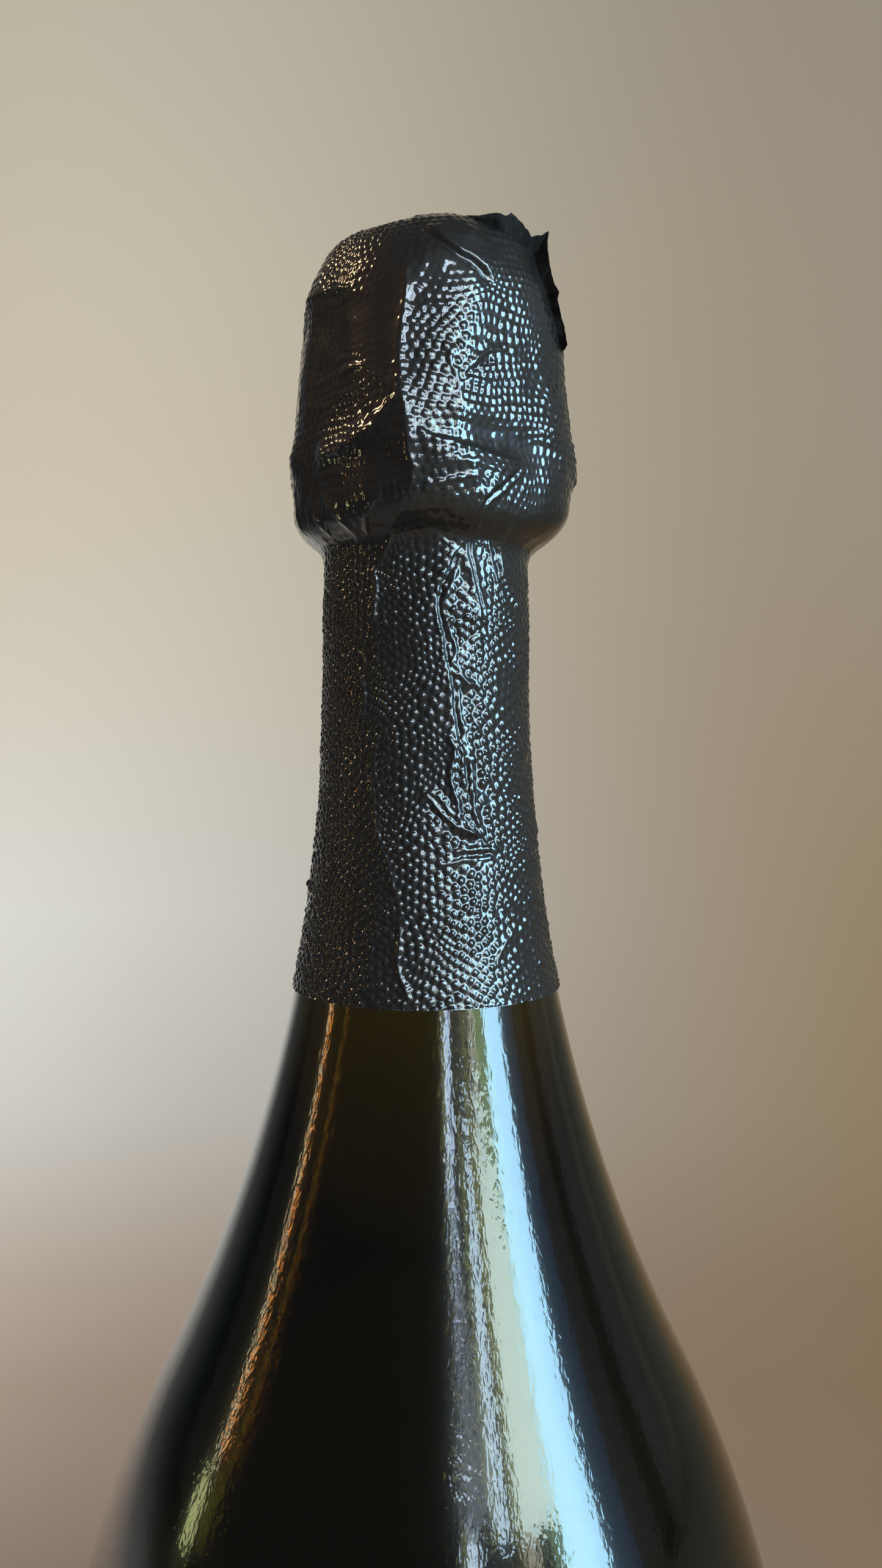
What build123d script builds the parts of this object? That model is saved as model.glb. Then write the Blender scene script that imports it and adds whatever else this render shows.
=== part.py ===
# A corked bottle of sparkling wine: dark glass with a deep punt, its wine, the closure, and a foil capsule.
# Millimetres. +Z is up, and the origin is on the axis, in the plane of the foot that the bottle stands on.
import os
from math import asin, cos, degrees, radians, sin, sqrt, tan

from build123d import *

os.makedirs("parts", exist_ok=True)

# Heights, most of them measured down from the top
total_height = 304.0
mouth_z = total_height - 17.0
collar_top_z = total_height - 25.0
collar_bottom_z = total_height - 37.0
neck_top_z = total_height - 43.0
flare_start_z = total_height - 63.2
foil_edge_z = total_height - 102.6
cork_bottom_z = total_height - 41.0
wine_level_z = total_height - 82.0

# Side of the glass, from the neck down: each arc starts where the last one ends, along its tangent
neck_top_radius = 13.7
neck_taper = 0.65  # degrees that the neck opens by
flare_radius = 208.0
flare_slope = 26.5  # degrees from upright where the flare turns into the shoulder
shoulder_radius = 155.0
belly_slope = 17.0  # degrees from upright where the shoulder turns into the belly
belly_radius = 84.0
side_radius = 800.0  # the slight pull-in below the widest place
heel_radius = 7.0
wall = 4.8

# Collar and mouth, under the foil
collar_radius = 15.2
mouth_radius = 13.9
mouth_round = 0.6

# Foot and punt
foot_inner_radius = 33.8
punt_knee_radius, punt_knee_z = 32.0, 9.0
punt_tip_radius, punt_height = 7.5, 42.0
punt_round = 6.0
floor_thickness = 10.5  # glass under the lowest place of the floor
floor_radius = 37.8
floor_tip_radius, tip_thickness = 13.0, 8.5
floor_round = 4.0

# Foil, and the head that it makes over the cork and its wire cage
foil_gauge = 0.25
head_gauge = 0.4  # the foil and its folds together
head_gather = 42.5  # depth where the head closes in on the neck
head_turn = -11.0  # degrees from the front to the first of the cage's four legs
head_sections = [  # depth below the top, distance to the flats, distance to the corners over the legs
    (44.5, 14.5, 14.7),
    (40.5, 15.2, 16.0),
    (36.0, 16.5, 18.6),
    (31.0, 17.0, 19.6),
    (21.0, 16.8, 18.9),
    (9.0, 16.5, 17.5),
    (5.5, 15.8, 16.6),
    (2.0, 12.6, 13.1),
    (0.0, 6.5, 6.7),
]

# Torn edge of the foil, which stands up round the right of the top
flap_radius = 17.0
flap_gauge = 0.5
flap_from, flap_to = 6.0, 84.0  # degrees round from the front
flap_bottom_z = total_height - 13.0


def neck_radius(z, inset=0.0):
    """Radius of the straight part of the neck, or of a line parallel to it."""
    return neck_top_radius + (neck_top_z - z) * tan(radians(neck_taper)) - inset / cos(radians(neck_taper))


def draw_neck(inset, top_z, end_z):
    """The neck from top_z down, and the flare as far as end_z, moved inwards by inset."""
    start_z = flare_start_z - inset * sin(radians(neck_taper))
    neck = Line((neck_radius(top_z, inset), top_z), (neck_radius(start_z, inset), start_z))
    radius = flare_radius + inset
    turned = degrees(asin((start_z - end_z) / radius + sin(radians(neck_taper)))) - neck_taper
    return neck, JernArc(start=neck @ 1, tangent=neck % 1, radius=radius, arc_size=turned)


def draw_side(inset, top_z):
    """The whole side from top_z down to where the heel starts, moved inwards by inset."""
    flare_end_z = flare_start_z - flare_radius * (sin(radians(flare_slope)) - sin(radians(neck_taper)))
    neck, flare = draw_neck(inset, top_z, flare_end_z - inset * sin(radians(flare_slope)))
    shoulder = JernArc(
        start=flare @ 1, tangent=flare % 1, radius=shoulder_radius - inset, arc_size=belly_slope - flare_slope
    )
    belly = JernArc(
        start=shoulder @ 1, tangent=shoulder % 1, radius=belly_radius - inset, arc_size=-belly_slope
    )
    # the heel is a quarter round less what the side has already turned, so it ends level with the foot
    belly_z = (belly @ 1).Y
    heel_z = heel_radius * (side_radius - belly_z) / (side_radius - heel_radius)
    turned = degrees(asin((belly_z - heel_z) / side_radius))
    side = JernArc(start=belly @ 1, tangent=belly % 1, radius=side_radius - inset, arc_size=-turned)
    return neck, side, turned


def make_head(shrink, deepest):
    """The form of the head, with all its faces moved inwards by shrink, down to the deepest depth."""
    with BuildPart() as head:
        for depth, flat, corner in head_sections:
            half, reach = flat - shrink, corner - shrink
            corner_radius = (half * sqrt(2) - reach) / (sqrt(2) - 1)
            z = total_height - min(max(depth, shrink), deepest)
            with BuildSketch(Plane.XY.offset(z).rotated((0, 0, head_turn - 45))):
                RectangleRounded(2 * half, 2 * half, corner_radius)
        loft()
    return head.part


# Room inside the glass, up to the mouth
with BuildPart() as cavity:
    with BuildSketch(Plane.XZ):
        with BuildLine():
            inner_neck, inner_side, _ = draw_side(wall, mouth_z)
            FilletPolyline(
                inner_side @ 1,
                (floor_radius, floor_thickness),
                (floor_tip_radius, punt_height + tip_thickness),
                (0, punt_height + tip_thickness),
                radius=floor_round,
            )
            Polyline((0, punt_height + tip_thickness), (0, mouth_z), inner_neck @ 0)
        make_face()
    revolve(axis=Axis.Z)

# Glass
with BuildPart() as bottle:
    with BuildSketch(Plane.XZ):
        with BuildLine():
            outer_neck, outer_side, side_turned = draw_side(0, neck_top_z)
            heel = JernArc(
                start=outer_side @ 1, tangent=outer_side % 1, radius=heel_radius, arc_size=side_turned - 90
            )
            Line(heel @ 1, (foot_inner_radius, 0))
            FilletPolyline(
                (foot_inner_radius, 0),
                (punt_knee_radius, punt_knee_z),
                (punt_tip_radius, punt_height),
                (0, punt_height),
                radius=punt_round,
            )
            Line((0, punt_height), (0, mouth_z))
            FilletPolyline(
                (0, mouth_z),
                (mouth_radius, mouth_z),
                (mouth_radius, collar_top_z),
                (collar_radius, collar_top_z),
                (collar_radius, collar_bottom_z),
                (neck_top_radius, neck_top_z),
                radius=mouth_round,
            )
        make_face()
    revolve(axis=Axis.Z)
    add(cavity.part, mode=Mode.SUBTRACT)
bottle.part.label = "bottle"
export_step(bottle.part, "parts/bottle.step")

# Wine, from the floor up to its level in the neck
with BuildPart() as wine:
    add(cavity.part)
    split(bisect_by=Plane.XY.offset(wine_level_z), keep=Keep.BOTTOM)
wine.part.label = "wine"
export_step(wine.part, "parts/wine.step")

# Cork and wire cage as one plain form, because the foil over them hides both
outer_head = make_head(0, head_sections[0][0])
inner_head = make_head(head_gauge, head_gather)
with BuildPart() as closure:
    add(inner_head)
    add(bottle.part, mode=Mode.SUBTRACT)
    add(cavity.part, mode=Mode.SUBTRACT)
    with BuildSketch(Plane.XZ):
        with BuildLine():
            shank = Line(
                (neck_radius(cork_bottom_z, wall), cork_bottom_z), (neck_radius(mouth_z, wall), mouth_z)
            )
            Polyline(shank @ 1, (0, mouth_z), (0, cork_bottom_z), shank @ 0)
        make_face()
    revolve(axis=Axis.Z)
closure.part.label = "closure"
export_step(closure.part, "parts/closure.step")

# Foil: a sleeve on the neck, a head over the closure, and a torn edge that stands up
with BuildPart() as foil_capsule:
    add(outer_head)
    with BuildSketch(Plane.XZ):
        with BuildLine():
            outer_top, outer_flare = draw_neck(-foil_gauge, neck_top_z, foil_edge_z)
            inner_top, inner_flare = draw_neck(0, neck_top_z, foil_edge_z)
            Line(outer_top @ 0, inner_top @ 0)
            Line(outer_flare @ 1, inner_flare @ 1)
        make_face()
    revolve(axis=Axis.Z)
    with BuildSketch(Plane.XY.offset(flap_bottom_z)):
        with BuildLine():
            flap_line = CenterArc((0, 0), flap_radius, flap_from - 90, flap_to - flap_from)
            offset(flap_line, flap_gauge / 2)
        make_face()
    extrude(amount=total_height - flap_bottom_z)
    add(closure.part, mode=Mode.SUBTRACT)
    add(bottle.part, mode=Mode.SUBTRACT)
    add(cavity.part, mode=Mode.SUBTRACT)
foil_capsule.part.label = "foil_capsule"
export_step(foil_capsule.part, "parts/foil_capsule.step")

for piece in (bottle, wine, closure, foil_capsule):
    print(piece.part.label, "millilitres:", round(piece.part.volume / 1000, 1))
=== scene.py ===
import math

import bpy
import numpy as np
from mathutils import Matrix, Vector, kdtree


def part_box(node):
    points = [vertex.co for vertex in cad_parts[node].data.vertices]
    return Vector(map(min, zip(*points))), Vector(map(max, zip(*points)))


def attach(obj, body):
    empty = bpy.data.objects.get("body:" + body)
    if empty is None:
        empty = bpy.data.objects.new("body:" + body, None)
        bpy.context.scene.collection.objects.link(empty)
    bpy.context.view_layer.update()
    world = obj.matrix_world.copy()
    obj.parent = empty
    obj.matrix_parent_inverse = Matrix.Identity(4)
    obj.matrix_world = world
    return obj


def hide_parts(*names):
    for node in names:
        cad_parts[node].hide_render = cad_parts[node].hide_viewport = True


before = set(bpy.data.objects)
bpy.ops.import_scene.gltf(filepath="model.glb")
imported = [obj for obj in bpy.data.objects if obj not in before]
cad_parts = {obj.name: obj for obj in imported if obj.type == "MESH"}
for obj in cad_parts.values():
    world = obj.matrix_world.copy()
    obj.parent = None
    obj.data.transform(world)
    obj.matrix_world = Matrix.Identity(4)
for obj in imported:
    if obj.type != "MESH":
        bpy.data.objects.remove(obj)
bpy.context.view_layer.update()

mm = 0.001
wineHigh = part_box("wine")[1]
foilLow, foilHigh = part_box("foil_capsule")
topZ = foilHigh.z / mm  # depths on the foil and the neck are measured down from here, in millimetres


# small helpers
def deselectAll():
    if bpy.context.object and bpy.context.object.mode != "OBJECT":
        bpy.ops.object.mode_set(mode="OBJECT")
    bpy.ops.object.select_all(action="DESELECT")


def makeActive(piece):
    deselectAll()
    piece.select_set(True)
    bpy.context.view_layer.objects.active = piece


def getPoints(mesh, what="co"):
    flat = np.empty(len(mesh.vertices) * 3, np.float32)
    mesh.vertices.foreach_get(what, flat)
    return flat.reshape(-1, 3).astype(float)


def setPoints(mesh, points):
    mesh.vertices.foreach_set("co", np.asarray(points, np.float32).ravel())
    mesh.update()


def smoothByAngle(piece, degrees):
    makeActive(piece)
    bpy.ops.object.shade_smooth_by_angle(angle=math.radians(degrees))


def applyModifier(piece, kind, **settings):
    makeActive(piece)
    modifier = piece.modifiers.new(kind.title(), kind)
    for name, value in settings.items():
        setattr(modifier, name, value)
    bpy.ops.object.modifier_apply(modifier=modifier.name)


def smoothCurve(points, count):  # count points evenly spaced along a curve through the given ones
    p = np.asarray(points, float)
    p = np.vstack([2 * p[0] - p[1], p, 2 * p[-1] - p[-2]])
    t = np.linspace(0, 1, 24, endpoint=False)[:, None]
    fine = [
        0.5 * (2 * b + (c - a) * t + (2 * a - 5 * b + 4 * c - d) * t**2 + (3 * b - a - 3 * c + d) * t**3)
        for a, b, c, d in zip(p, p[1:], p[2:], p[3:])
    ]
    fine = np.vstack(fine + [p[-2:-1]])
    run = np.concatenate([[0], np.cumsum(np.linalg.norm(np.diff(fine, axis=0), axis=1))])
    at = np.linspace(0, run[-1], count)
    return np.stack([np.interp(at, run, fine[:, k]) for k in range(fine.shape[1])], 1)


def smoothStep(x):
    x = np.clip(x, 0, 1)
    return x * x * (3 - 2 * x)


def valueNoise(points, size, seed):  # smooth noise from -1 to 1, with lumps of the given size
    p = np.asarray(points) / size + seed * 7.31
    cell = np.floor(p).astype(np.int64)
    part = p - cell
    part = part * part * (3 - 2 * part)
    total = np.zeros(len(p))
    for corner in range(8):
        step = np.array([corner & 1, corner >> 1 & 1, corner >> 2 & 1])
        at = cell + step
        mixed = at[:, 0] * 73856093 ^ at[:, 1] * 19349663 ^ at[:, 2] * 83492791 ^ seed * 2654435
        mixed = (mixed ^ mixed >> 13) * 1274126177 & 0x7FFFFFFF
        weight = np.prod(np.where(step, part, 1 - part), axis=1)
        total += weight * (mixed % 20011 / 10005.0 - 1)
    return total


def hexToLinear(code):  # an sRGB hex colour as linear red, green, blue and alpha
    parts = [int(code[i:i + 2], 16) / 255 for i in (1, 3, 5)]
    return [c / 12.92 if c <= 0.04045 else ((c + 0.055) / 1.055) ** 2.4 for c in parts] + [1]


def addNode(tree, kind, inputs=None, links=None, **settings):  # inputs: values, links: sockets that feed it
    node = tree.nodes.new("ShaderNode" + kind)
    for name, value in settings.items():
        setattr(node, name, value)
    for name, value in (inputs or {}).items():
        node.inputs[name].default_value = value
    for name, socket in (links or {}).items():
        tree.links.new(socket, node.inputs[name])
    return node


def newMaterial(name):
    material = bpy.data.materials.new(name)
    material.use_nodes = True
    material.node_tree.nodes.clear()
    return material, material.node_tree


def finishPiece(piece, material, slot, *replaced):
    piece.data.materials.clear()
    piece.data.materials.append(material)
    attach(piece, "root")
    if replaced:
        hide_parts(*replaced)


# camera
cameraSet = {
    "distance": 163.9,  # from the bottle's axis, in mm
    "belowTop": 71.5,  # level of the lens, in mm
    "pitchDown": 1.17,
    "turnRight": 0.73,
    "lens": 27.05,
    "sensor": 36.0,
    "nearest": 10.0,
}
cameraData = bpy.data.cameras.new("camera")
cameraData.lens = cameraSet["lens"]
cameraData.sensor_width = cameraSet["sensor"]
cameraData.clip_start = cameraSet["nearest"] * mm
camera = bpy.data.objects.new("camera", cameraData)
camera.location = (0, -cameraSet["distance"] * mm, (topZ - cameraSet["belowTop"]) * mm)
camera.rotation_euler = (math.radians(90 - cameraSet["pitchDown"]), 0, -math.radians(cameraSet["turnRight"]))
bpy.context.scene.collection.objects.link(camera)
bpy.context.scene.camera = camera
print("camera set")


# outline of the glass, as arcs that meet along a tangent; lengths in mm, slopes in degrees from upright
glassSet = {
    "mouthDepth": 17.0,
    "neckTopDepth": 43.0,
    "neckRadius": 13.7,
    "taper": 0.65,
    "flareDepth": 63.2,
    "flareRadius": 208.0,
    "flareSlope": 26.5,
    "shoulderRadius": 155.0,
    "bellySlope": 17.0,
    "bellyRadius": 84.0,
    "sideRadius": 800.0,
    "heelRadius": 7.0,
    "wall": 4.8,
    "outerSpacing": 1.9,
    "innerSpacing": 3.0,
    "heelSpacing": 0.8,
    "turns": 256,
    "smooth": 35,
}


def arcPoints(start, slope, radius, turn, spacing):
    # slope is in degrees from straight down, and turn in degrees, outwards if positive
    side = 1 if turn > 0 else -1
    count = max(3, int(abs(math.radians(turn)) * radius / spacing))
    angle = np.radians(slope + np.linspace(0, turn, count + 1)[1:])
    first = math.radians(slope)
    r = start[0] + side * radius * (math.cos(first) - np.cos(angle))
    z = start[1] - side * radius * (np.sin(angle) - math.sin(first))
    return list(zip(r, z))


def sideOutline(inset, topDepth, spacing):  # radius and height of the glass's side, moved inwards by inset
    g = glassSet
    taper = math.radians(g["taper"])
    flareZ = topZ - g["flareDepth"] - inset * math.sin(taper)

    def neckRadius(z):
        return g["neckRadius"] + (topZ - g["neckTopDepth"] - z) * math.tan(taper) - inset / math.cos(taper)

    steps = int((topZ - topDepth - flareZ) / spacing)
    points = [(neckRadius(z), z) for z in np.linspace(topZ - topDepth, flareZ, steps + 1)]
    arcs = [
        (g["taper"], g["flareRadius"] + inset, g["flareSlope"] - g["taper"]),
        (g["flareSlope"], g["shoulderRadius"] - inset, g["bellySlope"] - g["flareSlope"]),
        (g["bellySlope"], g["bellyRadius"] - inset, -g["bellySlope"]),
    ]
    for slope, radius, turn in arcs:
        points += arcPoints(points[-1], slope, radius, turn, spacing)
    bellyZ = points[-1][1]
    heelZ = g["heelRadius"] * (g["sideRadius"] - bellyZ) / (g["sideRadius"] - g["heelRadius"])
    pulled = math.degrees(math.asin((bellyZ - heelZ) / g["sideRadius"]))
    points += arcPoints(points[-1], 0, g["sideRadius"] - inset, -pulled, spacing * 2)
    return points, pulled


def spinOutline(name, outline, turns):  # spins a closed outline round the axis into a closed piece
    deselectAll()
    bpy.ops.mesh.primitive_circle_add(vertices=len(outline), radius=0.01)
    piece = bpy.context.object
    piece.name = name
    setPoints(piece.data, [(r * mm, 0, z * mm) for r, z in outline])
    bpy.ops.object.mode_set(mode="EDIT")
    bpy.ops.mesh.select_all(action="SELECT")
    bpy.ops.mesh.spin(steps=turns, angle=2 * math.pi, center=(0, 0, 0), axis=(0, 0, 1))
    bpy.ops.mesh.select_all(action="SELECT")
    bpy.ops.mesh.remove_doubles(threshold=1e-6)
    bpy.ops.mesh.delete_loose()
    bpy.ops.mesh.select_all(action="SELECT")
    bpy.ops.mesh.normals_make_consistent(inside=False)
    bpy.ops.object.mode_set(mode="OBJECT")
    return piece


def roundedCorner(before, corner, after, radius, steps):  # a round corner between two straight stretches
    a, b, c = (Vector(p) for p in (before, corner, after))
    toA, toC = (a - b).normalized(), (c - b).normalized()
    half = toA.angle(toC) / 2
    reach = radius / math.tan(half)
    centre = b + (toA + toC).normalized() * (radius / math.sin(half))
    start, end = b + toA * reach - centre, b + toC * reach - centre
    return [tuple(centre + start.slerp(end, i / steps)) for i in range(steps + 1)]


def floorOutline(wall, grow):  # inside of the floor, from the wall to the axis, pushed outwards by grow
    low = (floorSet["radius"] + grow, floorSet["level"] - grow)
    tip = (floorSet["tip"][0], floorSet["tip"][1] - grow)
    points = roundedCorner(wall, low, tip, floorSet["round"], floorSet["steps"])
    return points + roundedCorner(low, tip, (0, tip[1]), floorSet["round"], floorSet["steps"]) + [(0, tip[1])]


# glass: one closed shell with its punt; pairs are a radius and a height above the foot
collarSet = {"radius": 15.2, "topDepth": 25, "bottomDepth": 37, "mouthRadius": 13.9, "round": 0.6, "steps": 4}
puntSet = {"foot": 33.8, "knee": (32.0, 9.0), "tip": (7.5, 42.0), "round": 6.0, "steps": 8}
floorSet = {"radius": 37.8, "level": 10.5, "tip": (13.0, 50.5), "round": 4.0, "steps": 8}
mouthZ = topZ - glassSet["mouthDepth"]
outerSide, pulledIn = sideOutline(0, glassSet["neckTopDepth"], glassSet["outerSpacing"])
innerSide, _ = sideOutline(glassSet["wall"], glassSet["mouthDepth"], glassSet["innerSpacing"])

c = collarSet
collarTop, collarBottom = topZ - c["topDepth"], topZ - c["bottomDepth"]
corners = [
    (innerSide[0][0], mouthZ),
    (c["mouthRadius"], mouthZ),
    (c["mouthRadius"], collarTop),
    (c["radius"], collarTop),
    (c["radius"], collarBottom),
    outerSide[0],
]
outline = [corners[0]]
for before, corner, after in zip(corners, corners[1:], corners[2:]):
    outline += roundedCorner(before, corner, after, c["round"], c["steps"])
outline += outerSide
outline += arcPoints(outline[-1], -pulledIn, glassSet["heelRadius"], pulledIn - 90, glassSet["heelSpacing"])
p = puntSet
outline += [(p["foot"], 0)]
outline += roundedCorner(outline[-1], p["knee"], p["tip"], p["round"], p["steps"])
outline += roundedCorner(p["knee"], p["tip"], (0, p["tip"][1]), p["round"], p["steps"])
outline += [(0, p["tip"][1])]
outline += floorOutline(innerSide[-1], 0)[::-1] + innerSide[::-1][:-1]
glass = spinOutline("glass_bottle", outline, glassSet["turns"])
smoothByAngle(glass, glassSet["smooth"])
print("glass built", len(glass.data.polygons))


# wine: it reaches just into the wall, and its edge is drawn up the glass
wineSet = {
    "intoWall": 0.05,
    "topDepth": 60.0,
    "spacing": 2.0,
    "rise": [(6, 0), (3, 0.08), (1.6, 0.35), (0.7, 0.8), (0, 1.5)],  # distance from the glass, and rise
    "turns": 192,
    "smooth": 50,
}
wineSide, _ = sideOutline(glassSet["wall"] - wineSet["intoWall"], wineSet["topDepth"], wineSet["spacing"])
wineLevel = wineHigh.z / mm
edge = np.interp(-wineLevel, [-z for r, z in wineSide], [r for r, z in wineSide])
wineSide = [(r, z) for r, z in wineSide if z < wineLevel]
surface = [(0, wineLevel)] + [(edge - back, wineLevel + up) for back, up in wineSet["rise"]]
wineOutline = surface + wineSide + floorOutline(wineSide[-1], wineSet["intoWall"])
wine = spinOutline("wine_fill", wineOutline, wineSet["turns"])
smoothByAngle(wine, wineSet["smooth"])


# cork: shank in the bore, swollen head above the mouth
corkSet = {
    "intoWall": 0.05,
    "bottomDepth": 41.0,
    "chamfer": (0.6, 0.8),
    "swell": 0.1,
    "lip": (1.2, 0.3),
    "head": [(13.2, 2.2), (14.2, 5), (14.4, 9), (13.6, 12.2), (11.4, 14.2), (6.5, 15.3), (0, 15.6)],
    "turns": 96,
    "smooth": 50,
}
c = corkSet
shank = innerSide[0][0] + c["intoWall"]
bottom = topZ - c["bottomDepth"]
corkOutline = [(0, bottom), (shank - c["chamfer"][0], bottom), (shank + c["swell"], bottom + c["chamfer"][1])]
corkOutline += [(shank, mouthZ), (shank + c["lip"][0], mouthZ + c["lip"][1])]
corkOutline += [(r, mouthZ + up) for r, up in c["head"]]
cork = spinOutline("cork", corkOutline, c["turns"])
smoothByAngle(cork, c["smooth"])
print("wine and cork built")


# foil: one sheet rolled round the neck and pressed over the head
foilSet = {
    "gauge": 0.25,
    "columns": 544,
    "rowStep": 0.2,
    "capReach": 12.0,  # how far the round top patch reaches from the middle of the dome
    "merge": 0.02,
    "headRows": 500,
    "neckDepth": 47.0,
    "neckSpacing": 0.5,
    "turn": -8.0,  # degrees from the front to the first leg of the wire cage under it
    "lean": 0.8,  # the head sits this far right of the axis
    "leanDepth": (45.0, 9.0),  # where the lean ends, and over what length it sets in
    "sunk": 0.9,  # the dome is this much lower left of its middle
    "sunkPlace": (-4.5, 4.5),
    "sunkDepth": (7.0, 6.0),
    "splitDepth": 46.0,
    "edgeDepth": (foilHigh.z - foilLow.z) / mm,
}
# depth below the top, distance to the flats, distance to the corners over the cage's legs
headSections = [
    (0, 0, 0), (0.25, 5.6, 5.7), (1.0, 9.9, 10.2), (2.4, 12.8, 13.3), (4.4, 14.4, 15.0), (7.2, 15.6, 16.4),
    (10, 16.4, 17.3), (15, 16.6, 17.9), (21, 16.7, 18.4), (26, 16.9, 19.0), (31, 17.0, 19.5),
    (35, 17.0, 19.2), (38.2, 16.8, 18.8), (40.0, 16.4, 17.9), (41.3, 15.6, 16.6), (42.4, 14.7, 15.1),
    (43.3, 14.15, 14.3), (44.5, 13.97, 13.97), (46.5, 13.99, 13.99),
]
headTable = smoothCurve(headSections, foilSet["headRows"])
neckSide, _ = sideOutline(-foilSet["gauge"], foilSet["neckDepth"], foilSet["neckSpacing"])
neckTable = [(topZ - z, r, r) for r, z in neckSide if topZ - z < foilSet["edgeDepth"]]
lastRadius = np.interp(-foilLow.z / mm, [-z for r, z in neckSide], [r for r, z in neckSide])
foilTable = np.vstack([headTable, neckTable, [(foilSet["edgeDepth"], lastRadius, lastRadius)]])
steps = np.diff(foilTable, axis=0)
foilRun = np.concatenate([[0], np.cumsum(np.hypot(steps[:, 0], (steps[:, 1] + steps[:, 2]) / 2))])
foilLength = foilRun[-1]


def foilPoint(angle, run):  # plain form in mm, at degrees from the front and a distance down the sheet
    depth, flat, corner = (np.interp(run, foilRun, foilTable[:, k]) for k in range(3))
    corner = np.maximum(corner, flat + 1e-6)
    rounded = (flat * math.sqrt(2) - corner) / (math.sqrt(2) - 1)
    centre = corner - rounded
    away = np.radians(np.abs((angle - foilSet["turn"] + 45) % 90 - 45))
    limit = np.arctan2(rounded * math.sqrt(0.5), centre + rounded * math.sqrt(0.5))
    onCorner = centre * np.cos(away) + np.sqrt(np.maximum(rounded**2 - (centre * np.sin(away)) ** 2, 0))
    radius = np.where(away < limit, onCorner, flat / np.cos(math.pi / 4 - away))
    leanEnd, leanOver = foilSet["leanDepth"]
    turn = np.radians(angle)
    x = radius * np.sin(turn) + foilSet["lean"] * smoothStep((leanEnd - depth) / leanOver)
    middle, width = foilSet["sunkPlace"]
    sunkEnd, sunkOver = foilSet["sunkDepth"]
    sunk = foilSet["sunk"] * np.exp(-(((x - middle) / width) ** 2)) * smoothStep((sunkEnd - depth) / sunkOver)
    return np.stack([x, -radius * np.cos(turn), topZ - depth - sunk], -1)


def runAt(depth):
    return np.interp(depth, foilTable[:, 0], foilRun)


def storeValue(mesh, name, values, kind="FLOAT"):
    layer = mesh.attributes.get(name) or mesh.attributes.new(name, kind, "POINT")
    key = "value" if kind == "FLOAT" else "vector"
    layer.data.foreach_set(key, np.asarray(values, np.float32).ravel())


def readValue(mesh, name):
    flat = np.empty(len(mesh.vertices), np.float32)
    mesh.attributes[name].data.foreach_get("value", flat)
    return flat.astype(float)


# the sheet: columns round the bottle, rows down it
columns = foilSet["columns"]
rows = int((foilLength - foilSet["capReach"]) / foilSet["rowStep"])
deselectAll()
bpy.ops.mesh.primitive_grid_add(x_subdivisions=columns, y_subdivisions=rows, size=2)
foil = bpy.context.object
foil.name = "foil"
flat = getPoints(foil.data)
angle = flat[:, 0] * 180
run = foilSet["capReach"] + (foilLength - foilSet["capReach"]) * (1 - flat[:, 1]) / 2
storeValue(foil.data, "angle", angle)
storeValue(foil.data, "run", run)
setPoints(foil.data, foilPoint(angle, run) * mm)

# the top patch: a square grid drawn out to a disc, whose border meets the first row
bpy.ops.mesh.primitive_grid_add(x_subdivisions=columns // 4, y_subdivisions=columns // 4, size=2)
cap = bpy.context.object
a, b = getPoints(cap.data)[:, :2].T
wide = np.abs(a) >= np.abs(b)
long = np.where(wide, a, b)
short = np.where(wide, b, a)
ratio = np.divide(short, long, out=np.zeros_like(short), where=long != 0)
turn = np.where(wide, 45 * ratio, 90 - 45 * ratio) + np.where(long < 0, 180, 0)
capAngle = (turn + 180) % 360 - 180
capRun = np.abs(long) * foilSet["capReach"]
storeValue(cap.data, "angle", capAngle)
storeValue(cap.data, "run", capRun)
setPoints(cap.data, foilPoint(capAngle, capRun) * mm)
foil.select_set(True)
bpy.context.view_layer.objects.active = foil
bpy.ops.object.join()
bpy.ops.object.mode_set(mode="EDIT")
bpy.ops.mesh.select_all(action="SELECT")
bpy.ops.mesh.remove_doubles(threshold=foilSet["merge"] * mm)
bpy.ops.mesh.normals_make_consistent(inside=False)
bpy.ops.object.mode_set(mode="OBJECT")
foilAngle = readValue(foil.data, "angle")
foilAlong = readValue(foil.data, "run")
print("foil sheet", len(foil.data.vertices))


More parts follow.
